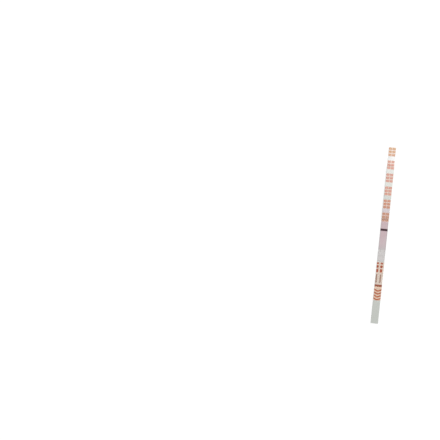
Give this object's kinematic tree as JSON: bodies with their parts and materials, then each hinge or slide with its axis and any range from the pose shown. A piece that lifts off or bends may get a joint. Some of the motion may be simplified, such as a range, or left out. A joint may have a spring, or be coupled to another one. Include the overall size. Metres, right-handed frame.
{
  "type": "drug test strip",
  "caption": "Lateral-flow dip strip for a drug screen: card with lapped pads and membrane, printed limit and handle tapes, and a dark control line.",
  "frame": {"origin": "middle of the card's underside, on the surface that the strip lies on", "axes": "+Y along the strip to its handle end, -Y to its dip end, +Z to its printed side"},
  "size_m": [0.0036, 0.085, 0.0014],
  "materials": {
    "card_plastic": "satin",
    "membrane_felt": "matt, porous",
    "line_dye": "matt, porous",
    "conjugate_fibre": "matt, fibrous",
    "pad_fibre": "matt, fibrous",
    "wick_fibre": "matt, fibrous",
    "limit_film": "smooth film",
    "handle_film": "smooth film",
    "limit_ink": "printed",
    "handle_ink": "printed"
  },
  "bodies": {
    "root": {"backing_card": "card_plastic", "membrane": "membrane_felt", "control_line": "line_dye", "conjugate_pad": "conjugate_fibre", "sample_pad": "pad_fibre", "absorbent_pad": "wick_fibre", "limit_tape": "limit_film", "handle_tape": "handle_film", "limit_marks": "limit_ink", "handle_marks": "handle_ink"}
  },
  "joints": []
}
